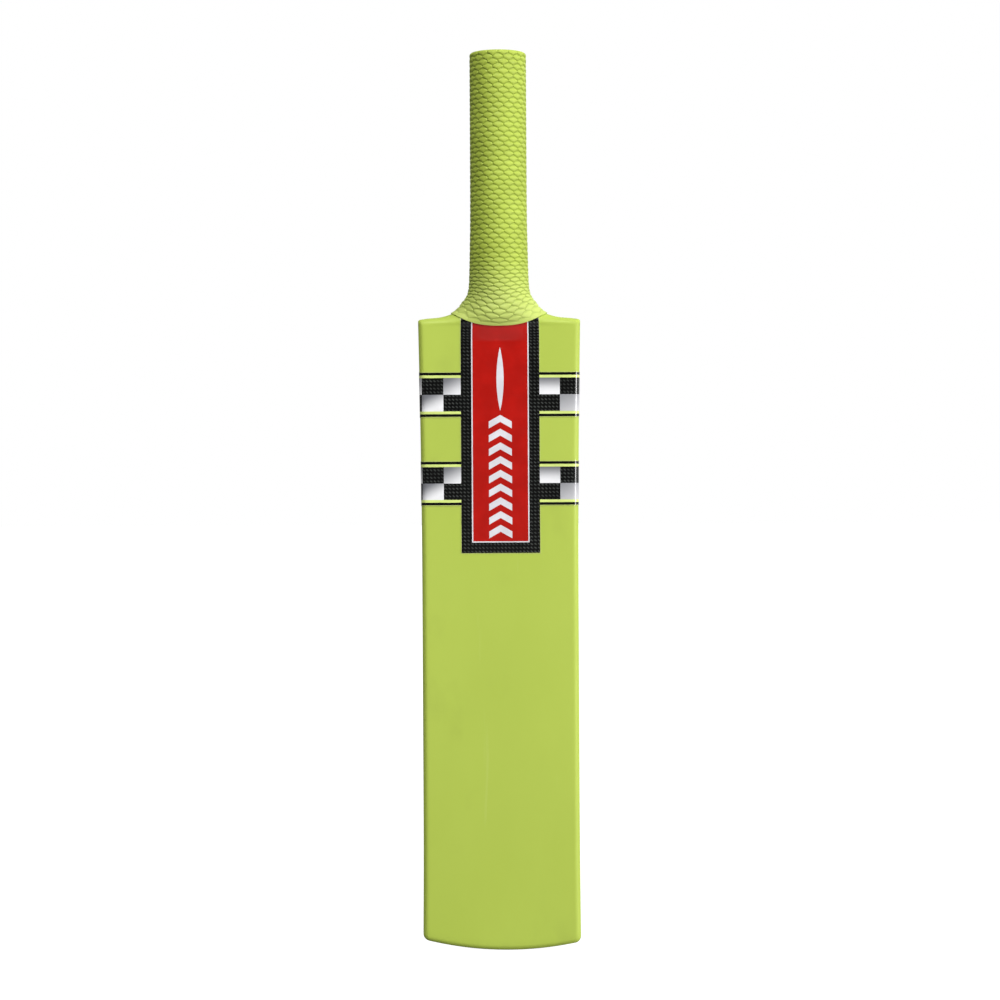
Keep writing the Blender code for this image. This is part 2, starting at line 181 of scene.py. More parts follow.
def surface(station, height, inset=0.0):
    """Points of the body's surface, or of a shrunken copy of it.

    station runs from 0 mid face through 1 and 2 round the face's corner, 3 and 4 round the back's
    corner, to 5 mid back; it is negative on the left. Both may be arrays of one shape.
    """
    station, height = np.broadcast_arrays(np.asarray(station, float), np.asarray(height, float))
    s = np.abs(station)
    turn = np.clip(s - 1, 0, 1) * math.pi / 2
    back_turn = np.clip(s - 3, 0, 1) * math.pi / 2
    flat = np.where(s < 1, s, np.where(s > 4, BACK - s, 1))
    bend = np.where(s < 2, np.sin(turn), np.cos(back_turn))
    side = np.clip(s - 2, 0, 1)
    lift = np.where(s < 2, 1 - np.cos(turn), np.where(s < 3, 1 - 2 * side, np.sin(back_turn) - 1))
    angle = np.interp(s, range(6), ANGLE_STOPS)

    z = height + inset * smooth_step(height, *SHOULDER_INSET_HEIGHTS)
    toe_round = max(TOE_ROUND - inset, MM)
    under = np.clip(toe_round + inset - height, 0, toe_round)
    shrink = inset + toe_round - np.sqrt(toe_round**2 - under**2)
    width = half_width(z) - shrink
    corner = np.maximum(EDGE_RADIUS - shrink, MM)
    flat_x = (flat * (width - corner) + bend * corner) / width

    low, high = TONGUE_RISE
    tongue = (HANDLE_RADIUS - FACE_DEPTH) * np.clip((z - low) / (high - low), 0, 1) ** TONGUE_POWER
    across = np.clip(flat_x * width / TONGUE_HALF_WIDTH, 0, 1)
    spine = np.interp(z, *SPINE_CURVE) * (0.5 + 0.5 * np.cos(math.pi * flat_x**0.9))
    blade_y = (1 - side) * (shrink - FACE_DEPTH) + side * (EDGE_BACK - shrink) + lift * corner
    blade_y = blade_y - (side == 0) * tongue * np.cos(across * math.pi / 2) ** 2 + (side == 1) * spine

    blend = smooth_step(z, *HANDLE_BLEND)
    x = np.where(station < 0, -1, 1) * width * ((1 - blend) * flat_x + blend * np.sin(angle))
    y = (1 - blend) * blade_y - blend * (HANDLE_RADIUS - inset) * np.cos(angle)

    bow = TOE_BOW_RADIUS - np.sqrt(TOE_BOW_RADIUS**2 - (x - TOE_BOW_CENTRE) ** 2)
    bow = bow * (1 - smooth_step(height, *TOE_BOW_FADE))
    start, full, hold, end = SHOULDER_EDGE_HEIGHTS
    near = smooth_step(z, start, full) * (1 - smooth_step(z, hold, end))
    drop = near * SHOULDER_EDGE_ROUND * (1 - bend)
    return np.stack([x, y, height + bow - drop], axis=-1)


def normals(station, height):
    """Outward unit normals of surface."""
    step = 0.004
    rise = 0.15 * MM
    wrap = 2 * BACK

    def at(s, z):
        return surface((s + BACK) % wrap - BACK, z)

    around = at(station + step, height) - at(station - step, height)
    along = at(station, height + rise) - at(station, height - rise)
    normal = np.cross(around, along)
    return normal / np.linalg.norm(normal, axis=-1)[..., None]


def lifted(station, height, distance):
    """Points of surface moved off it along its normals."""
    station, height = np.broadcast_arrays(np.asarray(station, float), np.asarray(height, float))
    offset = np.broadcast_to(np.asarray(distance, float), station.shape)
    return surface(station, height) + offset[..., None] * normals(station, height)


STATIONS = np.linspace(-BACK, 2 * BACK, 901)


def stations_at(places, height):
    """The stations at distances from the middle of the face, measured round the section."""
    points = surface((STATIONS + BACK) % (2 * BACK) - BACK, height)
    steps = np.linalg.norm(np.diff(points, axis=0), axis=1)
    around = np.concatenate([[0], np.cumsum(steps)])
    around = around - np.interp(0, STATIONS, around)
    return np.interp(places, around, STATIONS)


def half_round(height):
    """The distance round the section from the middle of its face to the middle of its back."""
    points = surface(np.linspace(0, BACK, 301), height)
    return float(np.sum(np.linalg.norm(np.diff(points, axis=0), axis=1)))


# ---------------------------------------------------------------- meshes


def add_mesh(name, verts, faces, finishes, slots=None, smooth_angle=40):
    """A smooth-shaded object from arrays. slots gives each face's place in finishes."""
    mesh = bpy.data.meshes.new(name)
    mesh.from_pydata(np.asarray(verts).tolist(), [], faces)
    for finish in finishes:
        mesh.materials.append(finish)
    if slots is not None:
        mesh.polygons.foreach_set("material_index", slots)
    bm = bmesh.new()
    bm.from_mesh(mesh)
    bmesh.ops.recalc_face_normals(bm, faces=bm.faces)
    bm.to_mesh(mesh)
    bm.free()
    mesh.shade_smooth()
    mesh.set_sharp_from_angle(angle=math.radians(smooth_angle))
    piece = bpy.data.objects.new(name, mesh)
    bpy.context.scene.collection.objects.link(piece)
    return piece


def place_piece(piece, slot, *nodes):
    """Puts a finished piece on the bat's one body, in place of CAD nodes. slot is not used."""
    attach(piece, "root")
    if nodes:
        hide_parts(*nodes)


def ring_faces(rows, columns, close_rows=False):
    """Faces of a tube of rows rings with columns points each."""
    faces = []
    for r in range(rows if close_rows else rows - 1):
        low = r * columns
        high = (r + 1) % rows * columns
        for c in range(columns):
            k = (c + 1) % columns
            faces.append((low + c, low + k, high + k, high + c))
    return faces


def add_values(piece, name, values):
    """Stores one number, or one vector, on each vertex for the materials to read."""
    values = np.asarray(values, np.float32)
    kind = "FLOAT" if values.ndim == 1 else "FLOAT_VECTOR"
    layer = piece.data.attributes.new(name, kind, "POINT")
    layer.data.foreach_set("value" if values.ndim == 1 else "vector", values.ravel())


# ---------------------------------------------------------------- material tools


def tone(red, green, blue):
    """A linear colour from 0 to 255 screen values."""

    def linear(value):
        value /= 255
        return value / 12.92 if value <= 0.04045 else ((value + 0.055) / 1.055) ** 2.4

    return (linear(red), linear(green), linear(blue), 1)


class Nodes:
    """A small helper that adds and links shader nodes in one material."""

    def __init__(self, name):
        self.material = bpy.data.materials.new(name)
        self.material.use_nodes = True
        self.tree = self.material.node_tree
        self.shader = self.tree.nodes["Principled BSDF"]

    def set(self, **values):
        for name, value in values.items():
            self.shader.inputs[name.replace("_", " ")].default_value = value

    def link(self, source, target):
        self.tree.links.new(source, target)

    def node(self, kind, inputs=None, **settings):
        """Adds a node. inputs maps socket names or numbers to a value or to another node's output."""
        made = self.tree.nodes.new(kind)
        for name, value in settings.items():
            setattr(made, name, value)
        for name, value in (inputs or {}).items():
            if isinstance(value, bpy.types.NodeSocket):
                self.link(value, made.inputs[name])
            else:
                made.inputs[name].default_value = value
        return made

    def place(self):
        return self.node("ShaderNodeTexCoord").outputs["Object"]

    def value(self, name, vector=False):
        """An attribute stored on the mesh."""
        made = self.node("ShaderNodeAttribute", attribute_name=name)
        return made.outputs["Vector" if vector else "Fac"]

    def math(self, operation, a, b=0.0, clamp=False):
        return self.node("ShaderNodeMath", {0: a, 1: b}, operation=operation, use_clamp=clamp).outputs[0]

    def noise(self, scale, detail=3.0, vector=None, stretch=None):
        source = vector or self.place()
        if stretch:
            source = self.node("ShaderNodeMapping", {"Vector": source, "Scale": stretch}).outputs[0]
        made = self.node("ShaderNodeTexNoise", {"Vector": source, "Scale": scale, "Detail": detail})
        return made.outputs["Fac"]

    def ramp(self, factor, low, high, a=0.0, b=1.0):
        """Maps factor from low..high to a..b, smoothly and clamped."""
        made = self.node(
            "ShaderNodeMapRange",
            {"Value": factor, "From Min": low, "From Max": high, "To Min": a, "To Max": b},
            interpolation_type="SMOOTHSTEP",
        )
        return made.outputs[0]

    def mix(self, factor, a, b):
        made = self.node("ShaderNodeMix", {"Factor": factor}, data_type="RGBA")
        for socket, value in ((made.inputs[6], a), (made.inputs[7], b)):
            if isinstance(value, bpy.types.NodeSocket):
                self.link(value, socket)
            else:
                socket.default_value = value
        return made.outputs[2]

    def bump(self, height, distance, strength=1.0, before=None):
        made = self.node("ShaderNodeBump", {"Height": height, "Distance": distance, "Strength": strength})
        if before:
            self.link(before, made.inputs["Normal"])
        return made.outputs["Normal"]

    def finish(self, colour=None, roughness=None, normal=None):
        for name, source in (("Base Color", colour), ("Roughness", roughness), ("Normal", normal)):
            if source is not None:
                self.link(source, self.shader.inputs[name])
        return self.material


# ---------------------------------------------------------------- materials


def body_plastic():
    """Satin polyethylene: faint cloudy blotches, an orange-peel skin and a few hairline scuffs."""
    n = Nodes("lime_plastic")
    clouds = n.noise(9, 4, stretch=(1, 1, 0.45))
    base = n.mix(n.ramp(clouds, 0.35, 0.7), LIME_DEEP, LIME_LIGHT)
    stains = n.noise(34, 5, stretch=(1, 1, 0.6))
    base = n.mix(n.ramp(stains, 0.58, 0.8, 0, 0.35), base, LIME_STAIN)
    scuffs = n.noise(140, 6, stretch=(1, 1, 0.06))
    scuff_mask = n.ramp(scuffs, 0.68, 0.76)
    base = n.mix(n.math("MULTIPLY", scuff_mask, 0.18), base, LIME_SCUFF)
    rough = n.ramp(n.noise(26, 4), 0.3, 0.75, 0.48, 0.6)
    rough = n.math("ADD", rough, n.math("MULTIPLY", scuff_mask, 0.12))
    skin = n.bump(n.noise(620, 2), 0.00004, 0.35)
    sink = n.bump(n.noise(22, 2), 0.0006, 0.25, skin)
    n.set(Metallic=0.0, IOR=1.5)
    n.shader.inputs["Specular IOR Level"].default_value = 0.35
    return n.finish(base, rough, sink)


def grip_rubber():
    """Matte moulded rubber, with painted shade darkening the grooves between the scales and a painted
    highlight making it paler towards its lower edge.
    """
    n = Nodes("lime_rubber")
    groove_shade = n.value("groove_shade")
    base = n.mix(n.ramp(n.noise(60, 4), 0.3, 0.7), RUBBER_DEEP, RUBBER_LIGHT)
    height = n.node("ShaderNodeSeparateXYZ", {0: n.place()}).outputs[2]
    # painted highlight: the flare near the grip's lower edge is made paler in the colour
    base = n.mix(n.ramp(height, 0.405, 0.445, 0.38, 0.0), base, RUBBER_FLARE_HIGHLIGHT)
    # painted shade: the colour is darkened along the grooves between the scales, where shade falls
    base = n.mix(n.ramp(groove_shade, 0.2, 0.95, 0.0, 0.26), base, RUBBER_GROOVE_SHADE)
    rough = n.ramp(n.noise(240, 3), 0.3, 0.7, 0.55, 0.7)
    grain = n.bump(n.noise(1500, 2), 0.00005, 0.5)
    n.set(Metallic=0.0, IOR=1.5)
    return n.finish(base, rough, grain)


def film(name, colour, rough=0.16):
    """Glossy printed film in one ink, a little uneven and very slightly rippled."""
    n = Nodes(name)
    darker = (colour[0] * 0.86, colour[1] * 0.86, colour[2] * 0.86, 1)
    base = n.mix(n.ramp(n.noise(75, 4), 0.35, 0.7), darker, colour)
    ripple = n.bump(n.noise(45, 2), 0.0004, 0.12)
    roughness = n.ramp(n.noise(180, 3), 0.3, 0.7, rough * 0.8, rough * 1.25)
    n.set(Metallic=0.0, IOR=1.5)
    return n.finish(base, roughness, ripple)


def woven_film():
    """Black film printed with short slanting dashes in rows, like a coarse weave."""
    n = Nodes("black_weave_film")
    place = n.value("print_place", vector=True)
    cell = n.node("ShaderNodeVectorMath", {0: place, "Scale": 1 / WEAVE_PITCH}, operation="SCALE").outputs[0]
    part = n.node("ShaderNodeVectorMath", {0: cell}, operation="FRACTION").outputs[0]
    split = n.node("ShaderNodeSeparateXYZ", {0: part})
    across = n.math("SUBTRACT", split.outputs[0], 0.5)
    up = n.math("SUBTRACT", split.outputs[1], 0.5)
    along = n.math("ABSOLUTE", n.math("SUBTRACT", across, up))
    off = n.math("ABSOLUTE", n.math("ADD", n.math("MULTIPLY", across, 0.62), n.math("MULTIPLY", up, 0.85)))
    dash = n.math("MULTIPLY", n.ramp(along, 0.3, 0.62, 1, 0), n.ramp(off, 0.08, 0.24, 1, 0))
    wear = n.ramp(n.noise(120, 3), 0.3, 0.7, 0.45, 1.0)
    base = n.mix(n.math("MULTIPLY", dash, wear), BLACK_INK, WEAVE_INK)
    ripple = n.bump(n.noise(45, 2), 0.0004, 0.12)
    n.set(Metallic=0.0, IOR=1.5)
    return n.finish(base, n.ramp(n.noise(180, 3), 0.3, 0.7, 0.14, 0.22), ripple)


def silver_film():
    """Silver print with a painted sheen: each square gets a slanting blend from grey to white."""
    n = Nodes("silver_film")
    # painted sheen: each silver check runs from grey to white
    base = n.mix(n.ramp(n.value("painted_sheen"), 0.0, 0.85), SILVER_DARK, SILVER_LIGHT)
    base = n.mix(n.ramp(n.noise(90, 3), 0.4, 0.8, 0, 0.12), base, SILVER_DARK)
    n.set(Metallic=0.0, IOR=1.5)
    return n.finish(base, n.ramp(n.noise(180, 3), 0.3, 0.7, 0.15, 0.24))


def foam_material():
    """Rigid foam with visible cells."""
    n = Nodes("rigid_foam")
    cells = n.node("ShaderNodeTexVoronoi", {"Vector": n.place(), "Scale": 700.0}).outputs["Distance"]
    base = n.mix(n.ramp(cells, 0.1, 0.7), tone(190, 175, 130), tone(228, 214, 172))
    n.set(Metallic=0.0)
    return n.finish(base, n.ramp(cells, 0.1, 0.7, 0.85, 0.95), n.bump(cells, 0.0004, 0.6))


def tape_material():
    """Cream double-sided tape with a crepe grain across it."""
    n = Nodes("cream_tape")
    crepe = n.noise(260, 3, stretch=(1, 1, 4))
    base = n.mix(n.ramp(crepe, 0.35, 0.7), tone(205, 198, 176), tone(232, 227, 208))
    n.set(Metallic=0.0)
    return n.finish(base, n.ramp(crepe, 0.3, 0.7, 0.6, 0.75), n.bump(crepe, 0.0002, 0.5))


LIME_LIGHT = tone(186, 206, 85)
LIME_DEEP = tone(180, 200, 80)
LIME_STAIN = tone(166, 184, 76)
LIME_SCUFF = tone(206, 218, 130)
RUBBER_LIGHT = tone(181, 201, 74)
RUBBER_DEEP = tone(171, 190, 66)
# painted shade colour for the grooves between the grip's scales
RUBBER_GROOVE_SHADE = tone(112, 136, 30)
# painted highlight colour for the grip's flare
RUBBER_FLARE_HIGHLIGHT = tone(214, 226, 140)
BLACK_INK = tone(9, 10, 9)
WEAVE_INK = tone(72, 75, 72)
SILVER_DARK = tone(120, 121, 126)
SILVER_LIGHT = tone(250, 250, 252)
RED_INK = tone(190, 24, 16)
WHITE_INK = tone(236, 234, 240)
LINE_LIME = tone(228, 246, 142)
FILM_EDGE = tone(196, 210, 118)

BODY_PLASTIC = body_plastic()
GRIP_RUBBER = grip_rubber()
RED_FILM = film("red_film", RED_INK)
WHITE_FILM = film("white_film", WHITE_INK)
BLACK_FILM = film("black_film", BLACK_INK)
LIME_FILM = film("bright_lime_film", LINE_LIME)
CLEAR_FILM = film("clear_film_edge", FILM_EDGE, 0.2)
WOVEN_FILM = woven_film()
SILVER_FILM = silver_film()


# ---------------------------------------------------------------- the moulding


def body_stations():
    """Stations of the fine body mesh: even on the flats, close at the corners and the parting line."""
    half = [np.linspace(0, 1, 37)[:-1], np.linspace(1, 2, 11)[:-1]]
    half.append(np.array([2.0, 2.2, 2.36, 2.44, 2.48, 2.5, 2.52, 2.56, 2.64, 2.8]))
    half += [np.linspace(3, 4, 11)[:-1], np.linspace(4, BACK, 29)]
    half = np.concatenate(half)
    return np.concatenate([half, -half[-2:0:-1]])


def body_heights(inset):
    """Heights of the body's rings: close at the toe, and close again from the tongue to the flare."""
    toe_round = max(TOE_ROUND - inset, MM)
    toe = inset + toe_round * (1 - np.cos(np.radians([0, 12, 25, 38, 50, 62, 75, 90])))
    blade = np.linspace(7, 378, 90) * MM
    tongue = np.concatenate([[380, 382, 384, 385.5], np.linspace(386, 399, 27)]) * MM
    shoulder = np.linspace(399.2, 402, 15) * MM
    flare = np.linspace(402.4, 430, 40) * MM
    levels = np.concatenate([blade, tongue, shoulder, flare, np.linspace(440, 560, 7) * MM])
    levels = levels - inset * smooth_step(levels, *SHOULDER_INSET_HEIGHTS)
    return np.concatenate([toe, levels, [HANDLE_TOP]])


def make_body():
    """The whole moulding, outside and inside, with the mould's parting line down both edges."""
    stations = body_stations()
    columns = len(stations)
    rings = []
    for inset in (0.0, WALL):
        heights = body_heights(inset)
        if inset:
            heights = np.concatenate([heights[:8], heights[8:-1:3], heights[-1:]])
        grid_s, grid_z = np.meshgrid(stations, heights)
        points = surface(grid_s, grid_z, inset)
        if not inset:
            ridge = np.exp(-(((np.abs(grid_s) - 2.5) / 0.035) ** 2)) * (grid_z < 402 * MM)
            points = points + (ridge * PARTING_HEIGHT)[..., None] * normals(grid_s, grid_z)
        rings.append(points)
    outside, inside = rings
    # The rings run up the outside from the toe to the rim, then down the inside
    verts = np.concatenate([outside, inside[::-1]]).reshape(-1, 3)
    rows = len(outside) + len(inside)
    faces = ring_faces(rows, columns)
    toe_cap = strip_cap(columns, 0)
    cavity_cap = strip_cap(columns, (rows - 1) * columns)
    piece = add_mesh("moulded_body", verts, faces + toe_cap + cavity_cap, [BODY_PLASTIC], smooth_angle=50)
    place_piece(piece, "body_plastic", "blade_body")


def strip_cap(columns, first):
    """Faces across a section ring, from each point on its face side to the one behind it."""
    half = columns // 2
    stations = body_stations()[: half + 1]
    front = [i for i in range(half + 1) if stations[i] <= 2.5]
    back = [i for i in range(half + 1) if stations[i] >= 2.5]
    faces = []
    for mirror in (1, -1):
        a, b = 0, half
        while a < front[-1] or b > back[0]:
            step_front = a < front[-1] and (front[-1] - a) / len(front) >= (b - back[0]) / len(back)
            c = a + 1 if step_front else a
            d = b if step_front else b - 1
            corners = [a, c, d, b] if c != d else [a, c, b]
            picked = list(dict.fromkeys(first + mirror * k % columns for k in corners))
            if len(picked) > 2:
                faces.append(tuple(picked))
            a, b = c, d
    return faces


# ---------------------------------------------------------------- the grip


def station_ladder(columns):
    """Stations that share the way round the section evenly among columns, on a ladder of heights."""
    rungs = []
    for i in range(LADDER_STEPS):
        z = LADDER_LOW + i * LADDER_STEP
        rungs.append(stations_at(np.arange(columns) * 2 * half_round(z) / columns, z))
    return np.array(rungs)


def column_stations(ladder, heights):
    """The station of each column at its own height."""
    rung = np.clip((heights - LADDER_LOW) / LADDER_STEP, 0, LADDER_STEPS - 1.001)
    low = rung.astype(int)
    share = rung - low
    column = np.broadcast_to(np.arange(ladder.shape[1]), heights.shape)
    stations = ladder[low, column] * (1 - share) + ladder[low + 1, column] * share
    return (stations + BACK) % (2 * BACK) - BACK


def grip_edge(ladder):
    """The height of the grip's lower edge at each column."""
    low = np.full(ladder.shape[1], GRIP_EDGE_LOW - 4 * MM)
    high = np.full(ladder.shape[1], GRIP_EDGE_LOW + 3 * GRIP_EDGE_RISE)
    for _ in range(30):
        middle = (low + high) / 2
        points = surface(column_stations(ladder, middle), middle)
        rise = (np.abs(points[:, 0]) / GRIP_EDGE_SPAN) ** GRIP_EDGE_POWER
        below = points[:, 2] < GRIP_EDGE_LOW + GRIP_EDGE_RISE * rise
        low = np.where(below, middle, low)
        high = np.where(below, high, middle)
    return (low + high) / 2


def scale_rows(columns):
    """The grip's mesh rows and their relief.

    The mesh rows follow the scales' outlines: an arched top and a pointed foot between two corners.
    Returns each point's place down the grip in rows of scales, and its relief from 0 to 1.
    """
    across = np.arange(columns) / COLUMNS_PER_SCALE
    rows_down = (BAT_LENGTH - GRIP_TOP_ROUND - SCALE_STRAIGHT) / SCALE_ROW + FLARE_ROWS
    places = []
    relief = []
    for n in range(-3, math.ceil(rows_down) + 1):
        part = np.abs((across + 0.5 * (n % 2) + 0.5) % 1 - 0.5) * 2
        top = n + 1 - SCALE_ARCH * np.sqrt(1 - part**2)
        foot = n + 1 + SCALE_FOOT * (1 - part)
        following = n + 2 - SCALE_ARCH * np.sqrt(1 - (1 - part) ** 2)
        raised = smooth_step(foot - top, 0, SCALE_CORNER)
        for share, level in SCALE_PROFILE:
            places.append(top + share * (foot - top))
            relief.append(level * raised)
        places.append((foot + following) / 2)
        relief.append(0 * part)
    places = np.array(places)
    relief = np.array(relief)
    keep = (places.max(axis=1) > 0) & (places.min(axis=1) < rows_down)
    places = places[keep]
    relief = relief[keep]
    order = SLIVER * np.arange(len(places))[:, None]
    places = np.maximum.accumulate(places, axis=0)
    places = np.clip(places, 0, rows_down - order[-1]) + order
    return places, relief, rows_down


def make_grip():
    """The rubber sleeve with its raised scales, the rim rolled over the handle's end."""
    columns = SCALES_ROUND * COLUMNS_PER_SCALE
    angle = np.arange(columns) * 2 * math.pi / columns
    ladder = station_ladder(columns)
    edge = grip_edge(ladder)

    places, relief, rows_down = scale_rows(columns)
    straight_rows = rows_down - FLARE_ROWS
    top = BAT_LENGTH - GRIP_TOP_ROUND
    up = np.clip((rows_down - places) / FLARE_ROWS, 0, 1)
    up = up - FLARE_CROWDING * up * (1 - up)
    flare = edge + (SCALE_STRAIGHT - edge) * up
    heights = np.where(places < straight_rows, top - places * SCALE_ROW, flare)
    rim = smooth_step(rows_down - places, 0.3, 0.6)
    relief = relief * rim + 0.75 * (1 - rim)
    cover = smooth_step(rows_down - places, 0, 3.5)
    thickness = GRIP_RIM + cover * (GRIP_OUTER - GRIP_RIM)
    offset = thickness - SCALE_DEPTH * (1 - relief) * (0.35 + 0.65 * cover)
    outer = lifted(column_stations(ladder, heights), heights, offset)

    rings = [outer[::-1]]
    # how much painted shade each point's colour gets, most along the grooves between the scales
    groove_shade = [(1 - relief)[::-1]]
    reach = np.linalg.norm(outer[0][:, :2], axis=1)
    for t in np.radians([15, 32, 50, 68, 90]):
        share = (1 - math.cos(t)) * GRIP_TOP_ROUND
        radius = reach - share
        rings.append(ring_at(angle, radius, top + GRIP_TOP_ROUND * math.sin(t))[None])
        groove_shade.append(((1 - relief[0]) * (1 - t / 2))[None])
    lip_low = BAT_LENGTH - GRIP_LIP_THICKNESS
    inner_radius = HANDLE_RADIUS + GRIP_INNER
    lip = [
        (GRIP_LIP_RADIUS + 1.5 * MM, BAT_LENGTH),
        (GRIP_LIP_RADIUS + 0.4 * MM, BAT_LENGTH - 0.15 * MM),
        (GRIP_LIP_RADIUS, BAT_LENGTH - 0.55 * MM),
        (GRIP_LIP_RADIUS + 0.1 * MM, lip_low),
        (inner_radius - 0.4 * MM, lip_low),
        (inner_radius, lip_low - 0.6 * MM),
    ]
    for radius, z in lip:
        rings.append(ring_at(angle, radius, z)[None])
        groove_shade.append(np.full((1, columns), 0.2))
    for z in np.array([560, 520, 475, 448, 430]) * MM:
        rings.append(lifted(column_stations(ladder, np.full(columns, z)), z, GRIP_INNER)[None])
        groove_shade.append(np.zeros((1, columns)))
    for t in np.linspace(0.9, 0, 13):
        z = edge + (GRIP_STRAIGHT - edge) * t
        gap = 0.22 * MM + (GRIP_INNER - 0.22 * MM) * smooth_step(t, 0, 0.4)
        rings.append(lifted(column_stations(ladder, z), z, gap)[None])
        groove_shade.append(np.zeros((1, columns)))
    points = np.concatenate(rings)
    faces = ring_faces(len(points), columns, close_rows=True)
    piece = add_mesh("scaled_rubber_grip", points.reshape(-1, 3), faces, [GRIP_RUBBER], smooth_angle=70)
    add_values(piece, "groove_shade", np.concatenate(groove_shade).ravel())
    place_piece(piece, "grip_rubber", "grip_sleeve")


def ring_at(angle, radius, z):
    """A round ring about the handle's axis, starting mid face."""
    radius = np.broadcast_to(radius, angle.shape)
    return np.stack([radius * np.sin(angle), -radius * np.cos(angle), np.full(angle.shape, z)], axis=-1)


def make_end_plug():
    """The plug seen in the grip's end: a shallow dish with a raised ring and a moulding dimple."""
    low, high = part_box("handle_end_plug")
    top = high.z
    head = high.x
    profile = [
        (11.7 * MM, low.z), (12.7 * MM, low.z + MM), (12.7 * MM, top - 3.4 * MM), (12.7 * MM, top - 3.1 * MM),
        (head, top - 3.1 * MM), (head, top - MM), (head - 0.3 * MM, top - 0.4 * MM), (head - MM, top),
        (9.4 * MM, top), (8.9 * MM, top - 0.5 * MM), (6.2 * MM, top - 0.6 * MM), (5.8 * MM, top - 0.1 * MM),
        (4.8 * MM, top - 0.1 * MM), (4.4 * MM, top - 0.6 * MM), (1.6 * MM, top - 0.7 * MM),
        (1.2 * MM, top - 1.3 * MM),
    ]
    columns = 96
    angle = np.arange(columns) * 2 * math.pi / columns
    points = np.concatenate([ring_at(angle, radius, z) for radius, z in profile])
    faces = ring_faces(len(profile), columns)
    faces.append(tuple(range(columns)))
    faces.append(tuple(range(len(points) - columns, len(points))))
    piece = add_mesh("end_plug", points, faces, [BODY_PLASTIC], smooth_angle=35)
    place_piece(piece, "plug_plastic", "handle_end_plug")


# ---------------------------------------------------------------- printed labels


def at_face(_):
    """Label places are measured from the middle of the face."""
    return 0.0


def cuts_between(cuts, step):
    """Adds even cuts of at most step between the given ones."""
    out = [cuts[0]]
    for a, b in zip(cuts, cuts[1:]):
        count = max(1, math.ceil((b - a) / step))
        out += list(a + (b - a) * np.arange(1, count + 1) / count)
    return np.array(out)


def height_cuts(heights):
    """Even cuts up the blade, close together where the shoulders bend."""
    cuts = []
    for low, high, step in ((0, 376 * MM, 4 * MM), (376 * MM, 396 * MM, MM), (396 * MM, 1, 0.3 * MM)):
        inside = [z for z in heights if low < z < high]
        ends = [max(low, heights[0]), min(high, heights[-1])]
        if ends[0] < ends[1]:
            cuts += list(cuts_between(sorted({ends[0], *inside, ends[1]}), step))
    return np.unique(np.round(cuts, 7))


def make_label(name, places, heights, ink_of, inks, origin, layer, slot, node):
    """A thin printed film on the body.

    places and heights are the cuts between colours, as distances round from origin(height) and
    heights. ink_of(column, row) gives the ink in each cell between them. layer is the film's
    underside and top, off the plastic.
    """
    heights = np.round(heights, 7)
    across = cuts_between(places, 1.2 * MM)
    up = height_cuts(heights)
    columns = len(across)
    low = []
    high = []
    printed = []
    for z in up:
        stations = stations_at(across + origin(z), z)
        stations = (stations + BACK) % (2 * BACK) - BACK
        low.append(lifted(stations, z, layer[0]))
        high.append(lifted(stations, z, layer[1]))
        printed.append(np.stack([across, np.full(columns, z), np.zeros(columns)], axis=-1))
    count = columns * len(up)
    faces = []
    slots = []
    for r in range(len(up) - 1):
        row = int(np.searchsorted(heights, (up[r] + up[r + 1]) / 2)) - 1
        for c in range(columns - 1):
            column = int(np.searchsorted(places, (across[c] + across[c + 1]) / 2)) - 1
            k = r * columns + c
            quad = (k, k + 1, k + columns + 1, k + columns)
            faces.append(tuple(count + i for i in quad))
            faces.append(quad[::-1])
            slots += [ink_of(column, row)] * 2
    border = [*range(columns), *range(2 * columns - 1, count, columns)]
    border += [*range(count - 2, count - columns - 1, -1), *range(count - 2 * columns, 0, -columns)]
    for i, j in zip(border, border[1:] + border[:1]):
        faces.append((i, j, count + j, count + i))
        slots.append(0)
    points = np.concatenate([np.concatenate(low), np.concatenate(high)])
    piece = add_mesh(name, points, faces, inks, slots, smooth_angle=30)
    printed = np.concatenate(printed)
    add_values(piece, "print_place", np.concatenate([printed, printed]))
    place_piece(piece, slot, node)
    return piece


PANEL_INKS = [CLEAR_FILM, WOVEN_FILM, WHITE_FILM, RED_FILM]


def make_panel(name, low, high, centre, origin, node):
    """A red field with a white keyline and a woven black border, open at the top under the grip."""
    half = PANEL_HALF_WIDTH
    steps = [0, FILM_MARGIN, FILM_MARGIN + PANEL_BORDER, FILM_MARGIN + PANEL_BORDER + KEYLINE]
    left = [centre - half - FILM_MARGIN + step for step in steps]
    right = [centre + half + FILM_MARGIN - step for step in reversed(steps)]
    places = np.array(left + right)
    bottom = [low - FILM_MARGIN + step for step in steps]
    open_top = node == "front_panel_label"
    top = [high] if open_top else [high + FILM_MARGIN - step for step in reversed(steps)]
    heights = np.array(bottom + top)

    def ink_of(column, row):
        return min(column, 6 - column, row, 3 if open_top else 6 - row)

    make_label(name, places, heights, ink_of, PANEL_INKS, origin, PANEL_LAYER, "panel_print", node)


BAND_INKS = [CLEAR_FILM, BLACK_FILM, LIME_FILM, SILVER_FILM, WOVEN_FILM]
PANEL_LAYER = (FILM_LOW, FILM_HIGH)
BAND_LAYER = (FILM_HIGH + 0.01 * MM, FILM_HIGH + 0.09 * MM)
# painted sheen on the silver checks: each check's blend as slope, fall and level, set apart for each side
SILVER_SHEEN_BLENDS = {-1: ((0.3, 0.55, 0.5), (0.5, 0.75, 0.6)), 1: ((0.0, 0.85, 0.92), (0.1, 0.2, 0.42))}


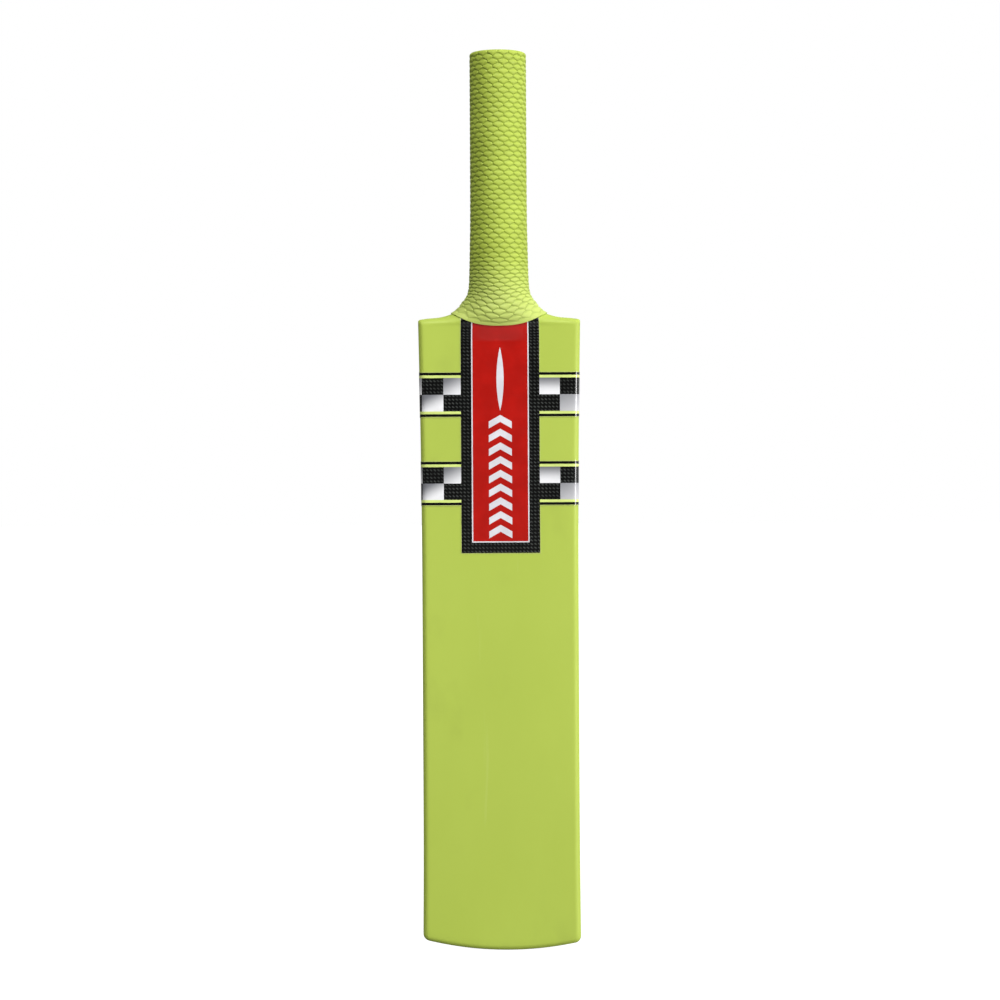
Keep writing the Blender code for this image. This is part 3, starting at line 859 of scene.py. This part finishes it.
def make_band(place, low, high, side):
    """Two rows of checks between lime and black lines, from the face panel round to the rear one."""
    first = FIRST_CHECK_RIGHT if side > 0 else FIRST_CHECK_LEFT
    middle = (low + high) / 2
    start = PANEL_HALF_WIDTH + side * PANEL_SHIFT
    end = half_round(middle) - PANEL_HALF_WIDTH
    cuts = [start]
    while cuts[-1] + (CHECK_WIDTH if len(cuts) > 1 else first) < end - MM:
        cuts.append(cuts[-1] + (CHECK_WIDTH if len(cuts) > 1 else first))
    cuts.append(end)
    line = BAND_LINE
    heights = [low - FILM_MARGIN, low, low + line, low + 2 * line, middle]
    heights += [high - 2 * line, high - line, high, high + FILM_MARGIN]
    places = np.array(cuts)
    if side < 0:
        places = -places[::-1]
    last = len(cuts) - 2

    def ink_of(column, row):
        if row in (0, 7):
            return 0
        if row in (1, 6):
            return 1
        if row in (2, 5):
            return 2
        outward = column if side > 0 else last - column
        return 3 if (outward + (row == 3)) % 2 == 0 else 4

    word = "right" if side > 0 else "left"
    node = place + "_band_label_" + word
    name = place + "_band_film_" + word
    piece = make_label(name, places, heights, ink_of, BAND_INKS, at_face, BAND_LAYER, "band_print", node)
    add_painted_sheen(piece, places, heights, side)


def add_painted_sheen(piece, places, heights, side):
    """Stores each silver check's painted sheen, a slanting blend, on its face corners, 0 dark and 1 white."""
    mesh = piece.data
    printed = np.zeros(len(mesh.vertices) * 3, np.float32)
    mesh.attributes["print_place"].data.foreach_get("vector", printed)
    printed = printed.reshape(-1, 3)
    sheen_values = []
    for face in mesh.polygons:
        spots = printed[list(face.vertices)]
        middle = spots.mean(axis=0)
        column = int(np.clip(np.searchsorted(places, middle[0]) - 1, 0, len(places) - 2))
        row = int(np.clip(np.searchsorted(heights, middle[1]) - 1, 0, len(heights) - 2))
        across = (spots[:, 0] - places[column]) / (places[column + 1] - places[column])
        up = (spots[:, 1] - heights[row]) / (heights[row + 1] - heights[row])
        outward = column if side > 0 else len(places) - 2 - column
        slope, fall, level = SILVER_SHEEN_BLENDS[side][outward % 2]
        sheen_values += list(level + slope * across - fall * up)
    layer = mesh.attributes.new("painted_sheen", "FLOAT", "CORNER")
    layer.data.foreach_set("value", np.array(sheen_values, np.float32))


def make_mark(name, outlines, origin):
    """Flat printed shapes on a panel. outlines are polygons in distances round and heights."""
    bm = bmesh.new()
    for outline in outlines:
        bm.faces.new([bm.verts.new((a, 0, b)) for a, b in outline])
    reach = max(abs(v.co.x) for v in bm.verts)
    for cut in np.arange(-reach, reach, 1.5 * MM):
        geometry = bm.verts[:] + bm.edges[:] + bm.faces[:]
        bmesh.ops.bisect_plane(bm, geom=geometry, plane_co=(cut, 0, 0), plane_no=(1, 0, 0), dist=1e-7)
    bmesh.ops.triangulate(bm, faces=bm.faces)
    flat = np.array([tuple(v.co) for v in bm.verts])
    faces = [tuple(v.index for v in f.verts) for f in bm.faces]
    rim = [tuple(v.index for v in e.verts) for e in bm.edges if len(e.link_faces) == 1]
    bm.free()
    layers = []
    for distance in (INK_LOW, INK_HIGH):
        stations = np.array([stations_at(a + origin(z), z) for a, _, z in flat])
        stations = (stations + BACK) % (2 * BACK) - BACK
        layers.append(lifted(stations, flat[:, 2], distance))
    count = len(flat)
    walls = [(a, b, count + b, count + a) for a, b in rim]
    solid = [tuple(count + i for i in f) for f in faces] + [f[::-1] for f in faces] + walls
    piece = add_mesh(name, np.concatenate(layers), solid, [WHITE_FILM], smooth_angle=30)
    place_piece(piece, "panel_print")


def needle(centre, low, high, width):
    """A slim upright lens shape."""
    heights = np.linspace(low, high, 25)
    half = width / 2 * np.sin(np.linspace(0, math.pi, 25)) ** 0.8
    right = [(centre + w, z) for w, z in zip(half, heights)]
    left = [(centre - w, z) for w, z in zip(half[1:-1], heights[1:-1])]
    return right + left[::-1]


def chevron(centre, low, width, rise, stroke):
    """A V turned point up."""
    half = width / 2
    return [
        (centre - half, low), (centre, low + rise), (centre + half, low),
        (centre + half, low + stroke), (centre, low + rise + stroke), (centre - half, low + stroke),
    ]


def make_marks(name, centre, origin, needle_high):
    """The panel's plain ornament: a needle over a stack of chevrons."""
    shapes = [needle(centre, NEEDLE_LOW, needle_high, NEEDLE_WIDTH)]
    for i in range(CHEVRONS):
        low = CHEVRON_LOW + CHEVRON_PITCH * i
        shapes.append(chevron(centre, low, CHEVRON_WIDTH, CHEVRON_RISE, CHEVRON_STROKE))
    make_mark(name, shapes, origin)


# ---------------------------------------------------------------- light, floor and camera


def add_light(name, place, target, size, power):
    """A white rectangular lamp turned towards a target."""
    lamp = bpy.data.lights.new(name, "AREA")
    lamp.shape = "RECTANGLE"
    lamp.size, lamp.size_y = size
    lamp.energy = power
    made = bpy.data.objects.new(name, lamp)
    made.location = place
    made.rotation_euler = (Vector(target) - Vector(place)).to_track_quat("-Z", "Y").to_euler()
    bpy.context.scene.collection.objects.link(made)


def make_world():
    """A white surround as seen, and a dimmer one as light: darker in front of the bat and to its left."""
    world = bpy.data.worlds.new("studio")
    world.use_nodes = True
    bpy.context.scene.world = world
    tree = world.node_tree
    tree.nodes.clear()

    def add(kind, links=None, **values):
        made = tree.nodes.new(kind)
        for name, value in values.items():
            made.inputs[name.replace("_", " ")].default_value = value
        for name, source in (links or {}).items():
            tree.links.new(source, made.inputs[name])
        return made

    way = add("ShaderNodeTexCoord")
    split = add("ShaderNodeSeparateXYZ", {0: way.outputs["Generated"]})
    front = add("ShaderNodeMapRange", {"Value": split.outputs[1]}, From_Min=-0.95, From_Max=-0.3,
                To_Min=WORLD_FRONT, To_Max=1.0)
    side = add("ShaderNodeMapRange", {"Value": split.outputs[0]}, From_Min=-0.8, From_Max=0.8,
               To_Min=WORLD_LEFT, To_Max=WORLD_RIGHT)
    strength = tree.nodes.new("ShaderNodeMath")
    strength.operation = "MULTIPLY"
    tree.links.new(front.outputs[0], strength.inputs[0])
    tree.links.new(side.outputs[0], strength.inputs[1])
    seen = add("ShaderNodeBackground", Color=(1, 1, 1, 1), Strength=1.0)
    lit = add("ShaderNodeBackground", {"Strength": strength.outputs[0]}, Color=(1, 1, 1, 1))
    path = add("ShaderNodeLightPath")
    mix = tree.nodes.new("ShaderNodeMixShader")
    tree.links.new(path.outputs["Is Camera Ray"], mix.inputs[0])
    tree.links.new(lit.outputs[0], mix.inputs[1])
    tree.links.new(seen.outputs[0], mix.inputs[2])
    add("ShaderNodeOutputWorld", {0: mix.outputs[0]})


def make_floor():
    """A wide pale floor under the toe."""
    bm = bmesh.new()
    bmesh.ops.create_circle(bm, cap_ends=True, segments=96, radius=30)
    mesh = bpy.data.meshes.new("floor")
    bm.to_mesh(mesh)
    bm.free()
    material = bpy.data.materials.new("pale_floor")
    material.use_nodes = True
    shader = material.node_tree.nodes["Principled BSDF"]
    shader.inputs["Base Color"].default_value = (0.3, 0.3, 0.3, 1)
    shader.inputs["Roughness"].default_value = 0.9
    shader.inputs["Specular IOR Level"].default_value = 0.0
    shader.inputs["Emission Color"].default_value = (1, 1, 1, 1)
    path = material.node_tree.nodes.new("ShaderNodeLightPath")
    glow = material.node_tree.nodes.new("ShaderNodeMath")
    glow.operation = "MULTIPLY"
    glow.inputs[1].default_value = FLOOR_GLOW
    material.node_tree.links.new(path.outputs["Is Camera Ray"], glow.inputs[0])
    material.node_tree.links.new(glow.outputs[0], shader.inputs["Emission Strength"])
    mesh.materials.append(material)
    floor = bpy.data.objects.new("floor", mesh)
    bpy.context.scene.collection.objects.link(floor)


def make_camera():
    """A long lens level with the middle of the bat, square to its face."""
    data = bpy.data.cameras.new("camera")
    data.sensor_width = 36
    data.lens = CAMERA_LENS
    data.clip_start = 0.05
    data.clip_end = 200
    camera = bpy.data.objects.new("camera", data)
    camera.location = (CAMERA_ACROSS, -CAMERA_DISTANCE, CAMERA_HEIGHT)
    camera.rotation_euler = (math.pi / 2, CAMERA_ROLL, 0)
    bpy.context.scene.collection.objects.link(camera)
    bpy.context.scene.camera = camera


KEY_LIGHT = {"place": (2.6, -1.9, 0.42), "target": (0, 0, 0.32), "size": (0.8, 1.1), "power": 66}
FILL_LIGHT = {"place": (-0.1, -1.7, 2.3), "target": (0, 0, 0.28), "size": (1.0, 0.8), "power": 41}
WORLD_FRONT = 0.08
WORLD_LEFT = 0.11
WORLD_RIGHT = 1.25
FLOOR_GLOW = 1.0
CAMERA_LENS = 100.12
CAMERA_DISTANCE = 1.773
CAMERA_HEIGHT = BAT_LENGTH / 2 + 0.3 * MM
CAMERA_ACROSS = 0.0
CAMERA_ROLL = math.radians(0.3)


def main():
    scene = bpy.context.scene
    scene.view_settings.view_transform = "Standard"
    make_camera()
    make_world()
    make_floor()
    add_light("key", **KEY_LIGHT)
    add_light("fill", **FILL_LIGHT)

    make_body()
    make_grip()
    make_end_plug()
    for node, finish in (("blade_foam_core", foam_material()), ("grip_tape", tape_material())):
        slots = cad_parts[node].data.materials
        slots.clear()
        slots.append(finish)

    make_panel("face_panel_film", PANEL_LOW, PANEL_HIGH, PANEL_SHIFT, at_face, "front_panel_label")
    make_panel("rear_panel_film", PANEL_LOW, REAR_PANEL_HIGH, 0.0, half_round, "rear_panel_label")
    for place, (low, high) in BANDS.items():
        for side in (1, -1):
            make_band(place, low, high, side)
    make_marks("face_panel_ornament", PANEL_SHIFT, at_face, FACE_NEEDLE_HIGH)
    make_marks("rear_panel_ornament", 0.0, half_round, REAR_NEEDLE_HIGH)


main()
